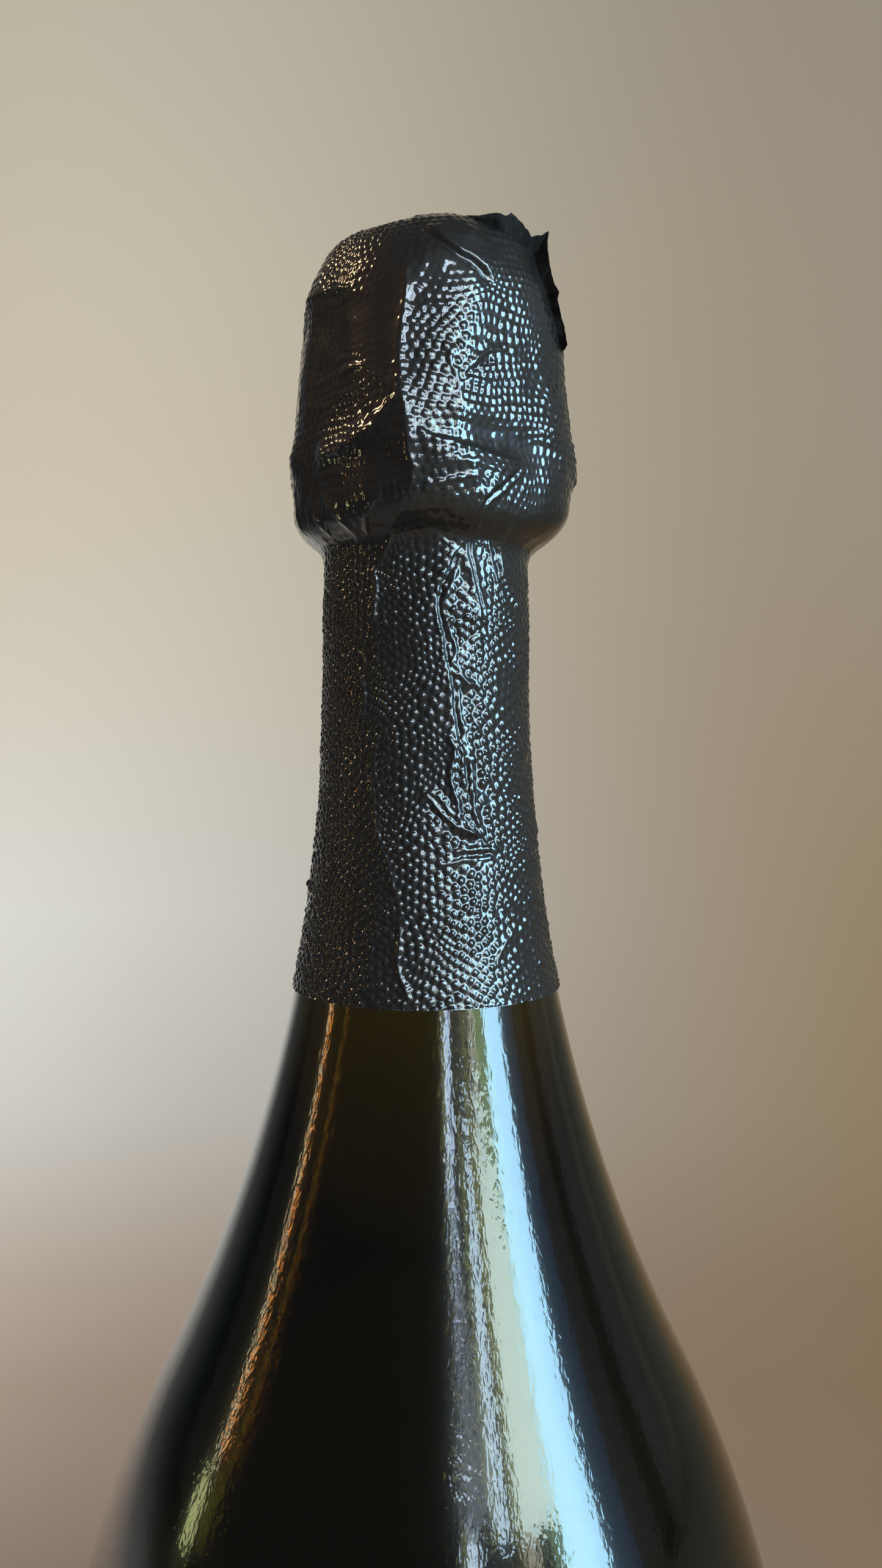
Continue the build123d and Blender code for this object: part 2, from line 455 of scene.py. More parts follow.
# creases of the foil by kind: height, half width, and points as degrees from the front and depth, in mm;
# a step stands up on the left of its line, seen along it, or on the right where its height is negative
creases = {
    "sharp": [
        (0.68, 1.75, [
            (-10.5, 8), (-10.5, 14), (-11.5, 18), (-12.5, 21), (-11.5, 24), (-10.5, 28), (-9, 31.6),
            (-8, 35), (-7.5, 39.5),
        ]),
        (0.24, 0.9, [(-84, 9.6), (-70, 10), (-60, 10.2), (-41, 11.5), (-31, 13.2)]),
        (0.14, 0.3, [(-7, 15.8), (0, 15.5), (8.5, 15.4)]),
        (0.28, 0.35, [(11, 27.9), (9, 24.3), (7, 22.6), (7, 20.2)]),
        (0.3, 0.4, [(9.5, 24.4), (15, 23), (23, 20.5), (34, 19.9)]),
        (0.22, 0.35, [(11, 25.3), (16, 24.4), (23, 24.4), (26, 25.8)]),
        (0.2, 0.5, [(-4, 35.7), (13, 34.6), (24, 34.9), (33, 35.0)]),
        (0.25, 0.6, [(-5, 38.9), (4, 37.4), (14, 36.4), (24, 36.6)]),
        (0.25, 0.4, [
            (46, 33.8), (34, 37.0), (26, 39.2), (24, 41.6), (24, 44), (26, 47), (30, 50.5), (37, 53.6),
        ]),
        (0.28, 0.4, [(33, 41), (35.5, 44), (40, 47.6), (47, 50.6), (57, 53)]),
        (0.25, 0.3, [(43, 40.4), (42, 42.6), (44, 45.2), (47, 47.5)]),
        (0.3, 0.35, [
            (18, 44.1), (16, 46.6), (13, 49), (8, 51.9), (13, 55.4), (16, 57.5), (12, 59.9), (20, 61.2),
            (25, 62.3),
        ]),
        (0.22, 0.3, [(13.5, 60.4), (17, 63), (18, 66), (20, 69), (22, 72)]),
        (0.22, 0.3, [(12, 58.9), (16.5, 59.9), (25, 62.4)]),
        (0.25, 0.3, [(24, 55.8), (29, 55.8), (35, 54.9)]),
        (0.2, 0.3, [(11, 54.9), (15.5, 57.5)]),
        (0.45, 0.45, [
            (10, 67.2), (14, 70.3), (12, 72.9), (13, 74.9), (16, 77.8), (17, 79.6), (21, 80.6), (28, 81.4),
        ]),
        (0.42, 0.4, [(-4, 75), (4, 77), (10, 79), (17, 80.4), (27, 81.1)]),
        (0.35, 0.35, [(0, 75.0), (7, 76.4), (13, 78.4), (17, 79.3)]),
        (0.3, 0.35, [(19, 67.7), (18, 70.3), (23, 72.1), (24, 75.5), (24, 77.8), (28, 80.9)]),
        (0.3, 0.35, [(13, 83.2), (23, 83.0), (33, 82.8), (40, 83.1)]),
        (0.24, 0.35, [(4, 85.0), (16, 84.4), (26, 84.1), (34, 83.9)]),
        (0.32, 0.4, [
            (-30, 68), (-29, 71.3), (-28, 73.2), (-26, 77.3), (-23, 81.9), (-18, 84.2), (-16, 86.4),
            (-13, 90.5),
        ]),
        (0.4, 0.4, [(-13, 90.5), (-11, 93.2), (-12, 95.7), (-11, 98.1), (-8, 100.3), (-6, 101.8)]),
        (0.32, 0.35, [(44, 92.3), (41, 94), (34, 95.6), (31, 96.8), (30, 98.4)]),
        (0.6, 0.5, [(-28, 46.6), (-26.3, 49.4), (-27.5, 52), (-28, 54.6)]),
        (0.2, 0.3, [(-25, 51), (-23, 52.9), (-21, 54.8)]),
        (0.5, 0.4, [(-36, 60.4), (-33.3, 63), (-34, 67)]),
        (0.2, 0.3, [(-38, 55.7), (-31, 59)]),
        (0.3, 0.5, [(-16, 41), (-19, 43.5), (-25, 47.2)]),
        (0.25, 0.5, [(-56, 36), (-51, 38.4), (-39, 41.7), (-36, 44.5)]),
        (0.25, 0.5, [(-19, 38.2), (-27, 40.5), (-31, 43.5)]),
        (0.25, 0.5, [(-84, 34.5), (-80, 37.8), (-79, 41.5)]),
        (0.2, 0.5, [(-68, 36), (-64, 39), (-55, 42.5)]),
        (0.46, 1.4, [(-62, 32.2), (-50, 32.0), (-36, 31.8), (-24, 30.6), (-15, 27.6), (-9, 26.0)]),
        (0.25, 0.8, [(-48, 22.8), (-36, 22.2), (-27, 22.6), (-18, 25.2), (-11, 26.0)]),
        (0.22, 0.7, [(-62, 7), (-52, 9), (-44, 11.2), (-38, 14)]),
    ],
    "round": [
        (-0.25, 0.5, [(-7, 4.4), (3, 7.1), (11, 8.8), (19, 10.2), (27, 12.3)]),
        (-0.2, 0.5, [(12, 24.2), (19, 22.6), (27, 21.2)]),
        (-0.38, 1.9, [(-6, 30.2), (8, 30.8), (24, 31.2), (44, 31.8), (70, 32.6)]),
        (0.25, 1.6, [(2, 28.2), (14, 28.3), (28, 28.0), (44, 28.4), (60, 29.4)]),
        (0.22, 1.3, [(-4, 33.4), (8, 34.2), (20, 34.6), (36, 34.9)]),
        (-0.08, 0.9, [(-4, 41.0), (8, 40.8), (18, 40.4)]),
        (-0.3, 0.4, [(35, 40.4), (38, 43.7), (43, 47.4), (50, 49.9), (60, 51.9)]),
        (-0.35, 0.4, [(-2, 76.0), (5, 78.3), (11, 80.4), (18, 81.5), (28, 82.0), (37, 82.0)]),
        (-0.2, 0.35, [(14, 83.9), (24, 83.7), (34, 83.4)]),
        (0.35, 1.6, [(-64, 31.6), (-50, 31.2), (-36, 30.8), (-22, 30.2)]),
        (-0.22, 2.6, [(-84, 13), (-66, 14.5), (-48, 16.5)]),
        (-0.25, 2.4, [(-52, 27), (-38, 27.4), (-25, 26.5)]),
        (-0.22, 2.2, [(-40, 34.5), (-26, 34.2), (-14, 33)]),
    ],
    "step": [
        (0.4, 0.35, [(-6, 4.2), (3, 6.6), (11, 8.2), (19, 9.6), (24, 10.6), (28, 11.9)]),
        (-0.42, 0.35, [(-8.5, 29.8), (-3, 31.2), (5, 32.0), (15, 32.6), (27, 33.1), (40, 33.3)]),
        (-0.75, 0.35, [
            (44, 33.4), (32, 36.2), (24, 38.3), (21, 40.6), (21, 43.1), (23, 46.2), (26, 49.4), (30, 52.5),
            (35, 54.1),
        ]),
        (-0.55, 0.25, [
            (19, 40.9), (18, 44.1), (14, 45.2), (11, 47.4), (6, 50.1), (6, 52.2), (8, 54.9), (10, 58.1),
            (12, 60.7), (14, 63.9), (15, 66.6), (17, 69.3), (19, 71.5), (21, 74.4), (21, 77), (23, 78.4),
        ]),
    ],
}
dents = [  # degrees from the front, depth, size and height of a lone bump
    (86, 31.3, 2.6, 0.4), (-83, 30.8, 2.2, 0.45), (58, 98.3, 0.5, 0.3), (51, 99.5, 0.4, 0.3),
    (-79, 88.7, 0.8, 0.5), (83, 81, 0.6, 0.3), (62, 33, 2.5, 0.3), (14, 14, 3.2, 0.5), (64, 24, 2.2, 0.4),
    (88, 33.2, 1.0, 0.45), (18, 5.6, 1.6, 0.25), (60, 28.5, 1.6, 0.3),
]

creaseSet = {
    "pathPoints": 24,
    "fade": 0.16,  # share of its length over which a crease dies away at each end
    "tip": 0.12,  # how blunt a sharp crease is
    "sharpFall": 0.55,
    "stepFall": 2.6,
    "stepFade": 2,
    "stepMargin": 4,
    "reach": 5,
    "fine": 0.6,  # a crease finer than this pulls the pebbles smooth
    "pulledReach": 0.9,
}


def placeAcross(where, run):  # distance round the sheet from the front, on its plain form
    return np.radians(where) * np.interp(run, foilRun, foilTable[:, 1])


def addCreases(lift, pulled, across, down):
    # adds the height of every crease to lift, and where the sheet is pulled smooth to pulled
    c = creaseSet
    for kind, height, width, path in ((kind, *crease) for kind in creases for crease in creases[kind]):
        path = smoothCurve(path, c["pathPoints"])
        pathRun = runAt(path[:, 1])
        px = placeAcross(path[:, 0], pathRun)
        py = -pathRun
        reach = width * c["reach"] + (c["stepMargin"] if kind == "step" else 0)
        near = (across > px.min() - reach) & (across < px.max() + reach)
        near &= (down > py.min() - reach) & (down < py.max() + reach)
        near = np.nonzero(near)[0]
        x, y = across[near], down[near]
        best = np.full(len(near), 1e9)
        side = np.zeros(len(near))
        share = np.zeros(len(near))
        for i in range(len(px) - 1):
            dx, dy = px[i + 1] - px[i], py[i + 1] - py[i]
            along = ((x - px[i]) * dx + (y - py[i]) * dy) / (dx * dx + dy * dy)
            along = np.clip(along, 0, 1)
            gap = np.hypot(x - px[i] - along * dx, y - py[i] - along * dy)
            closer = gap < best
            best[closer] = gap[closer]
            side[closer] = np.sign(dx * (y - py[i]) - dy * (x - px[i]))[closer]
            share[closer] = ((i + along) / (len(px) - 1))[closer]
        fade = smoothStep(share / c["fade"]) * smoothStep((1 - share) / c["fade"])
        if kind == "sharp":
            shape = np.exp(-(np.sqrt(best**2 + c["tip"] ** 2) - c["tip"]) / (width * c["sharpFall"]))
        elif kind == "round":
            shape = np.exp(-((best / width) ** 2))
        else:
            away = side * best * math.copysign(1, height)
            shape = (0.5 + 0.5 * np.tanh(2 * away / width)) * np.exp(-np.maximum(away, 0) / c["stepFall"])
            shape = shape * smoothStep((reach - best) / c["stepFade"]) * math.copysign(1, height)
        lift[near] += height * shape * fade
        if kind != "round" and width < c["fine"]:
            pull = np.exp(-((best / (width * c["pulledReach"])) ** 2)) * fade
            pulled[near] = np.maximum(pulled[near], pull)
    for where, depth, size, height in dents:
        run = runAt(depth)
        gone = (across - placeAcross(where, run)) ** 2 + (down + run) ** 2
        lift += height * np.exp(-gone / size**2)


# the creases and the slack of the sheet come first, and the pebbles on top; heights and sizes in mm
pressSet = {
    "wander": (0.16, 1.7),  # how far the creases wander from their lines, and over what size
    "wanderFine": (0.07, 0.8),
    "slack": (0.10, 0.14, 7.0),  # height on the neck, what the head adds, size
    "crumple": (0.04, 0.07, 3.1),
    "strands": (0.05, 0.95, 0.13),  # height, size, and how far they are drawn out down the neck
    "overlap": (0.16, 1.3, 0.55),  # the same for the wrinkles beside the overlap of the sheet
    "overlapFrom": ([41, 46, 51, 56, 62, 70, 78], [19, 13, 6, 9, 13, 17, 21]),  # depths and degrees
    "overlapTo": 36,
    "headEnd": 47,
    "lowest": (-1.2, -0.16),  # on the head, on the neck
    "neckStart": 44,
}
p = pressSet
plain = getPoints(foil.data) / mm
foilDepth = np.interp(foilAlong, foilRun, foilTable[:, 0])
wander = [
    p["wander"][0] * valueNoise(plain, p["wander"][1], seed)
    + p["wanderFine"][0] * valueNoise(plain, p["wanderFine"][1], seed + 2)
    for seed in (3, 8)
]
across = placeAcross(foilAngle, foilAlong) + wander[0]
down = -foilAlong + wander[1]
lift = np.zeros(len(plain))
pulled = np.zeros(len(plain))
addCreases(lift, pulled, across, down)
onHead = smoothStep((p["headEnd"] - foilDepth) / 4)
gathered = smoothStep((foilDepth - 34) / 4) * smoothStep((62 - foilDepth) / 14)  # drawn in under the head
onNeck, addedOnHead, size = p["slack"]
lift += (onNeck + addedOnHead * onHead) * valueNoise(plain, size, 21)
onNeck, addedOnHead, size = p["crumple"]
ridged = 1 - np.abs(valueNoise(plain, size, 31)) * 2
lift += (onNeck + addedOnHead * onHead) * ridged * (0.6 + 0.4 * valueNoise(plain, 9.0, 33))
height, size, drawn = p["strands"]
ridged = 1 - np.abs(valueNoise(plain * [1, 1, drawn], size, 41)) * 2
lift += height * gathered * smoothStep((20 - foilAngle) / 40) * ridged
height, size, drawn = p["overlap"]
overlap = smoothStep((foilAngle - np.interp(foilDepth, *p["overlapFrom"])) / 3)
overlap *= smoothStep((p["overlapTo"] - foilAngle) / 12)
overlap *= smoothStep((foilDepth - 42) / 4) * smoothStep((82 - foilDepth) / 8)
lift += height * overlap * (1 - 2 * np.abs(valueNoise(plain * [1, 1, drawn], size, 71)))
lift = np.maximum(lift, np.where(foilDepth > p["neckStart"], p["lowest"][1], p["lowest"][0]))
lift *= smoothStep((foilSet["edgeDepth"] - foilDepth) / 0.3)  # flat on the glass at its edge

pebbleSet = {  # sizes in mm
    "headRow": 1.12,
    "headPitch": 1.02,
    "headStart": 0.9,
    "neckRow": 0.64,
    "neckPitch": 1.86,
    "neckStart": 43.5,
    "jitter": 0.13,
    "sway": [(6.0, 1.3), (2.6, 0.35)],  # size and reach of the rows' waves
    "height": 0.2,
    "uneven": (0.65, 1.35),
    "groove": 0.24,
    "radius": 0.62,
    "drop": 0.8,  # how much lower the rim of a pebble is than its middle, as a share of its height
    "seed": 11,
}


def pebblePlaces():  # degrees and distance down the sheet of each pebble, row by row
    rng = np.random.default_rng(pebbleSet["seed"])
    jitter = pebbleSet["jitter"]
    places = [np.zeros((1, 2))]
    count = 0
    neckRun = runAt(pebbleSet["neckStart"])
    headRuns = np.arange(pebbleSet["headStart"], neckRun, pebbleSet["headRow"])
    neckRuns = np.arange(neckRun + 0.5, foilLength + 0.8, pebbleSet["neckRow"])
    for i, run in enumerate(np.concatenate([headRuns, neckRuns])):
        pitch = pebbleSet["headPitch" if run < neckRun else "neckPitch"]
        fitting = placeAcross(360, run) / pitch
        if abs(fitting - count) > max(2.5, fitting * 0.04):  # rows keep their count until it is well off
            count = int(round(fitting))
        turn = (np.arange(count) + 0.5 * (i % 2)) * 360 / count
        turn = turn + rng.uniform(-1, 1, count) * jitter * 360 / count
        rowRun = run + rng.uniform(-1, 1, count) * jitter
        places.append(np.stack([(turn + 180) % 360 - 180, rowRun], 1))
    return np.vstack(places)


p = pebbleSet
places = pebblePlaces()
unswayed = foilPoint(places[:, 0], places[:, 1])
placeRadius = np.maximum(np.interp(places[:, 1], foilRun, foilTable[:, 1]), 1)
sways = [
    sum(valueNoise(unswayed, size, seed + k) * reach for k, (size, reach) in enumerate(p["sway"]))
    for seed in (81, 83)
]
places[:, 0] += np.degrees(sways[0] / placeRadius)
places[:, 1] += sways[1]
centres = foilPoint(places[:, 0], np.clip(places[:, 1], 0, foilLength))
tree = kdtree.KDTree(len(centres))
for i, place in enumerate(centres):
    tree.insert(place, i)
tree.balance()
found = [tree.find_n(point, 2) for point in plain]
toCentre, toNext = np.array([[first[2], second[2]] for first, second in found]).T
owner = np.array([first[1] for first, second in found])
uneven = np.random.default_rng(p["seed"] + 1).uniform(*p["uneven"], len(centres))
rim = smoothStep((toNext - toCentre) / p["groove"] / 2)
pebble = rim * (1 - p["drop"] * np.minimum(toCentre / p["radius"], 1) ** 2) * uneven[owner]
worn = [  # degrees from the front, depth, size, and share of the pebbles' height that is left
    (14, 6.5, 4.5, 0.25), (20, 30.4, 2.6, 0.3), (32, 30.8, 2.8, 0.3), (45, 31.2, 3.0, 0.3),
    (-26, 16, 5.5, 0.3), (-20, 34, 6.0, 0.35), (60, 12, 5.5, 0.15), (58, 6, 4.0, 0.3), (-60, 17, 6.5, 0.35),
    (-62, 25, 3.5, 0.5), (-75, 22, 9.0, 0.4), (-70, 36, 7.0, 0.3), (22, 43, 2.0, 0.3), (23, 47, 2.0, 0.3),
    (29, 51, 2.0, 0.3), (75, 40, 6.0, 0.3), (-16, 12, 2.8, 0.15), (-17, 16.5, 2.8, 0.15),
    (-18, 21, 2.8, 0.2), (-16, 24.5, 2.0, 0.4), (-15, 18.8, 1.6, 0.3), (-36, 15.5, 3.2, 0.2),
    (2, 9.5, 4.4, 0.2), (9, 11.5, 2.4, 0.5), (-3, 12.5, 2.2, 0.6), (-50, 29.6, 3.6, 1.6),
    (-36, 29.2, 2.6, 1.4),
]

wornSet = {
    "collar": (41.2, 1.7, 0.8),  # depth and size of the bend under the head, and what it takes off
    "gathered": 0.3,
    "pulled": 0.8,
    "neckOverHead": 0.25,  # how much fuller the pebbles are on the neck
}
strength = 0.85 + 0.3 * valueNoise(plain, 5.0, 51)
strength *= 1 + wornSet["neckOverHead"] * (1 - onHead)
for where, depth, size, left in worn:
    run = runAt(depth)
    gone = (across - placeAcross(where, run)) ** 2 + (down + run) ** 2
    strength *= 1 - (1 - left) * np.exp(-gone / size**2)
depth, size, taken = wornSet["collar"]
strength *= 1 - taken * np.exp(-(((foilDepth - depth) / size) ** 2))
strength *= 1 - wornSet["gathered"] * gathered * smoothStep((50 - foilDepth) / 6)
strength *= 1 - wornSet["pulled"] * pulled

setPoints(foil.data, (plain + getPoints(foil.data, "normal") * lift[:, None]) * mm)
raised = (pebbleSet["height"] * strength * pebble)[:, None]
setPoints(foil.data, getPoints(foil.data) + getPoints(foil.data, "normal") * raised * mm)
foil.data.polygons.foreach_set("use_smooth", np.ones(len(foil.data.polygons), bool))
storeValue(foil.data, "shading", getPoints(foil.data, "normal"), "FLOAT_VECTOR")
print("foil pressed")


# the sheet is kept in four pieces, each with the shading of the whole so that no seam shows
foilFaces = len(foil.data.polygons)
middle = np.empty(foilFaces * 3, np.float32)
foil.data.polygons.foreach_get("center", middle)
middle = middle.reshape(-1, 3) / mm
storeFace = foil.data.attributes.new("quarter", "INT", "FACE")
quarter = (middle[:, 2] < topZ - foilSet["splitDepth"]) * 1 + (middle[:, 1] > 0) * 2
storeFace.data.foreach_set("value", quarter.astype(np.int32))
foilPieces = []
for number, name in enumerate(["foil_head_front", "foil_neck_front", "foil_head_back", "foil_neck_back"]):
    piece = foil.copy()
    piece.data = foil.data.copy()
    piece.name = name
    bpy.context.scene.collection.objects.link(piece)
    chosen = np.empty(foilFaces, np.int32)
    piece.data.attributes["quarter"].data.foreach_get("value", chosen)
    makeActive(piece)
    bpy.ops.object.mode_set(mode="EDIT")
    bpy.ops.mesh.select_all(action="DESELECT")
    bpy.ops.object.mode_set(mode="OBJECT")
    piece.data.polygons.foreach_set("select", chosen != number)
    bpy.ops.object.mode_set(mode="EDIT")
    bpy.ops.mesh.delete(type="FACE")
    bpy.ops.object.mode_set(mode="OBJECT")
    shading = np.empty(len(piece.data.vertices) * 3, np.float32)
    piece.data.attributes["shading"].data.foreach_get("vector", shading)
    piece.data.normals_split_custom_set_from_vertices(shading.reshape(-1, 3).tolist())
    for extra in ("angle", "run", "quarter", "shading"):
        piece.data.attributes.remove(piece.data.attributes[extra])
    foilPieces.append(piece)
    print(name, len(piece.data.polygons))
bpy.data.objects.remove(foil)


# cut edge of the foil, a bright line round the glass
edgeSet = {"height": 0.11, "proud": 0.05, "inside": 0.04, "lean": 0.02, "turns": 256}
edgeZ = foilLow.z / mm
edgeTop = edgeZ + edgeSet["height"]
inner = lastRadius - foilSet["gauge"] - edgeSet["inside"]
outer = lastRadius + edgeSet["proud"]
edgeOutline = [(inner, edgeZ), (outer, edgeZ), (outer - edgeSet["lean"], edgeTop), (inner, edgeTop)]
cutEdge = spinOutline("foil_cut_edge", edgeOutline, edgeSet["turns"])


# torn edge: a strip of the foil that stands up round the right of the top
tornSet = {
    "along": 420,
    "across": 16,
    "anglePace": 0.28,  # mm for each degree round the dome
    "gauge": 0.12,
    "inside": 0.3,  # how far its foot is sunk in the sheet
    "bow": 0.15,
    "ragged": [(0.05, 1.6), (0.04, 0.5)],  # height and size
    "crumple": [(0.16, 2.1), (0.05, 0.8)],
    "smooth": 40,
}
# degrees from the front, depth, then how far the free edge stands out and up
tornEdge = [
    (20, 2.1, 0.0, 0.0), (27, 2.4, 0.1, 0.5), (32, 2.5, 0.2, 1.1), (36, 2.9, 0.3, 1.7), (38.5, 3.5, 0.3, 2.3),
    (41, 3.9, 0.3, 2.6), (44, 4.1, 0.4, 3.1), (52, 4.2, 0.3, 2.6), (58, 4.1, 0.3, 2.1), (62, 4.0, 0.3, 1.6),
    (63, 4.1, 0.8, 1.9), (64, 4.3, 1.3, 2.1), (65, 4.6, 2.0, 3.0), (64.5, 5.0, 1.6, 2.0), (63, 5.7, 1.4, 1.4),
    (61, 6.8, 1.4, 0.8), (60, 8.5, 1.4, 0.2), (60.5, 9.6, 1.4, 0.1), (61.5, 10.4, 1.7, 0.0),
    (63, 10.8, 1.3, -0.2), (64, 11.9, 1.25, 0.0), (67, 12.9, 1.0, 0.0), (68.3, 14.2, 1.2, 0.0),
    (69.2, 15.0, 1.15, -0.2), (71.5, 15.7, 1.1, -0.5), (73, 16.3, 0.6, -0.4), (73, 16.9, 0.0, 0.0),
]
gaps = np.linalg.norm(np.diff(np.array(tornEdge)[:, :2] * [tornSet["anglePace"], 1], axis=0), axis=1)
passed = np.concatenate([[0], np.cumsum(gaps)])
steps = np.linspace(0, passed[-1], tornSet["along"] + 1)
line = np.stack([np.interp(steps, passed, values) for values in np.array(tornEdge).T], 1)
deselectAll()
bpy.ops.mesh.primitive_grid_add(x_subdivisions=tornSet["along"], y_subdivisions=tornSet["across"], size=2)
torn = bpy.context.object
torn.name = "foil_torn_edge"
flat = getPoints(torn.data)
at = (flat[:, 0] + 1) / 2 * tornSet["along"]
rise = (flat[:, 1] + 1) / 2
where, depth, out, up = (np.interp(at, np.arange(len(line)), line[:, k]) for k in range(4))
base = foilPoint(where, runAt(depth))
spot = np.stack([at * 0.07, rise * 0, rise * 0], 1)
ragged = 1 + sum(share * valueNoise(spot, size, 61 + k) for k, (share, size) in enumerate(tornSet["ragged"]))
outward = np.stack([np.sin(np.radians(where)), -np.cos(np.radians(where))], 1)
bow = tornSet["bow"] * np.sin(rise * math.pi)
tip = base.copy()
tip[:, :2] += outward * ((out * rise * ragged - tornSet["inside"] * (1 - rise) + bow)[:, None])
tip[:, 2] += up * rise * ragged
setPoints(torn.data, tip * mm)
fold = np.stack([at * 0.05, rise * 2.0, rise * 0], 1)
crumpled = sum(height * valueNoise(fold, size, 65 + k) for k, (height, size) in enumerate(tornSet["crumple"]))
facing = getPoints(torn.data, "normal")
setPoints(torn.data, (tip + facing * (crumpled * np.minimum(rise * 3, 1))[:, None]) * mm)
makeActive(torn)
bpy.ops.object.mode_set(mode="EDIT")
bpy.ops.mesh.select_all(action="SELECT")
bpy.ops.mesh.normals_make_consistent(inside=False)
bpy.ops.object.mode_set(mode="OBJECT")
applyModifier(torn, "SOLIDIFY", thickness=tornSet["gauge"] * mm, offset=0)
smoothByAngle(torn, tornSet["smooth"])
print("torn edge built")


# materials: absorption densities are per metre, and each pattern's scale comes from its real size in mm
def lacqueredFoil():  # aluminium and plastic laminate, lacquered near-black, embossed by a roller
    material, tree = newMaterial("black_foil")
    place = addNode(tree, "TexCoord").outputs["Object"]
    grain = addNode(tree, "TexNoise", {"Scale": 1 / (0.35 * mm), "Detail": 3.0}, {"Vector": place})
    slack = addNode(tree, "TexNoise", {"Scale": 1 / (2.4 * mm), "Detail": 2.0}, {"Vector": place})
    noises = {0: grain.outputs["Fac"], 2: slack.outputs["Fac"]}
    mixed = addNode(tree, "Math", {1: 0.3}, noises, operation="MULTIPLY_ADD")
    height = {"Height": mixed.outputs[0]}
    bump = addNode(tree, "Bump", {"Strength": 0.25, "Distance": 0.05 * mm}, height)
    limits = {"To Min": 0.55, "To Max": 0.68}
    rough = addNode(tree, "MapRange", limits, {"Value": slack.outputs["Fac"]})
    shader = addNode(
        tree,
        "BsdfPrincipled",
        {
            "Base Color": hexToLinear("#38322f"),
            "Metallic": 1.0,
            "Coat Weight": 1.0,
            "Coat Roughness": 0.07,
            "Coat IOR": 1.72,
        },
        {"Normal": bump.outputs["Normal"], "Roughness": rough.outputs["Result"]},
    )
    addNode(tree, "OutputMaterial", links={"Surface": shader.outputs["BSDF"]})
    return material


def tornFoilPaintedShade():  # the torn laminate: dull and dark, darker than the lacquered foil as painted shade on the standing strip; paler where the lacquer cracked
    material, tree = newMaterial("torn_foil_painted_shade")
    place = addNode(tree, "TexCoord").outputs["Object"]
    crack = addNode(tree, "TexNoise", {"Scale": 1 / (0.8 * mm), "Detail": 4.0}, {"Vector": place})
    # painted shade: the dark tone stands for the shade on the standing strip
    tone = addNode(tree, "ValToRGB", links={"Fac": crack.outputs["Fac"]})
    tone.color_ramp.elements[0].position = 0.6
    tone.color_ramp.elements[0].color = hexToLinear("#1d1815")
    tone.color_ramp.elements[1].position = 0.8
    tone.color_ramp.elements[1].color = hexToLinear("#4a4542")
    shader = addNode(
        tree,
        "BsdfPrincipled",
        {"Roughness": 0.65, "Specular IOR Level": 0.08},
        {"Base Color": tone.outputs["Color"]},
    )
    addNode(tree, "OutputMaterial", links={"Surface": shader.outputs["BSDF"]})
    return material


def bareAluminium():  # rolled foil cut by a blade, the bare metal showing in places
    material, tree = newMaterial("foil_edge_metal")
    place = addNode(tree, "TexCoord").outputs["Object"]
    patch = addNode(tree, "TexNoise", {"Scale": 1 / (3 * mm), "Detail": 4.0}, {"Vector": place})
    tone = addNode(tree, "ValToRGB", links={"Fac": patch.outputs["Fac"]})
    tone.color_ramp.elements[0].position = 0.4
    tone.color_ramp.elements[0].color = hexToLinear("#3a3a3b")
    tone.color_ramp.elements[1].position = 0.62
    tone.color_ramp.elements[1].color = hexToLinear("#b9bbbd")
    metal = {"Metallic": 1.0, "Roughness": 0.35}
    shader = addNode(tree, "BsdfPrincipled", metal, {"Base Color": tone.outputs["Color"]})
    addNode(tree, "OutputMaterial", links={"Surface": shader.outputs["BSDF"]})
    return material


def bottleGlass():  # dark olive soda-lime glass, blown in a mould: faint orange peel, and dust on it
    material, tree = newMaterial("olive_glass")
    place = addNode(tree, "TexCoord").outputs["Object"]
    stretched = addNode(tree, "Mapping", {"Scale": (1, 1, 0.25)}, {"Vector": place})
    where = {"Vector": stretched.outputs["Vector"]}
    peel = addNode(tree, "TexNoise", {"Scale": 1 / (2.2 * mm), "Detail": 2.0}, where)
    grain = addNode(tree, "TexNoise", {"Scale": 1 / (0.6 * mm), "Detail": 2.0}, where)
    noises = {0: grain.outputs["Fac"], 2: peel.outputs["Fac"]}
    mixed = addNode(tree, "Math", {1: 2.0}, noises, operation="MULTIPLY_ADD")
    height = {"Height": mixed.outputs[0]}
    bump = addNode(tree, "Bump", {"Strength": 0.25, "Distance": 0.05 * mm}, height)
    shader = addNode(
        tree,
        "BsdfPrincipled",
        {
            "Base Color": (1, 1, 1, 1),
            "Roughness": 0.03,
            "IOR": 1.5,
            "Transmission Weight": 1.0,
            "Coat Weight": 0.45,
            "Coat Roughness": 0.16,
            "Coat IOR": 1.5,
        },
        {"Normal": bump.outputs["Normal"]},
    )
    inside = addNode(tree, "VolumeAbsorption", {"Color": (0.573, 0.524, 0.087, 1), "Density": 390.0})
    ends = {"Surface": shader.outputs["BSDF"], "Volume": inside.outputs["Volume"]}
    addNode(tree, "OutputMaterial", links=ends)
    return material


def paleWine():  # pale gold sparkling wine, fermented in the bottle
    material, tree = newMaterial("pale_wine")
    place = addNode(tree, "TexCoord").outputs["Object"]
    haze = addNode(tree, "TexNoise", {"Scale": 1 / (40 * mm)}, {"Vector": place})
    tint = addNode(tree, "Mix", {"A": 0.96, "B": 1.0}, {"Factor": haze.outputs["Fac"]})
    shader = addNode(
        tree,
        "BsdfPrincipled",
        {"Base Color": (1, 1, 1, 1), "Roughness": 0.0, "IOR": 1.34, "Transmission Weight": 1.0},
    )
    tree.links.new(tint.outputs["Result"], shader.inputs["Base Color"])
    inside = addNode(tree, "VolumeAbsorption", {"Color": (0.357, 0.357, 0.143, 1), "Density": 70.0})
    ends = {"Surface": shader.outputs["BSDF"], "Volume": inside.outputs["Volume"]}
    addNode(tree, "OutputMaterial", links=ends)
    return material


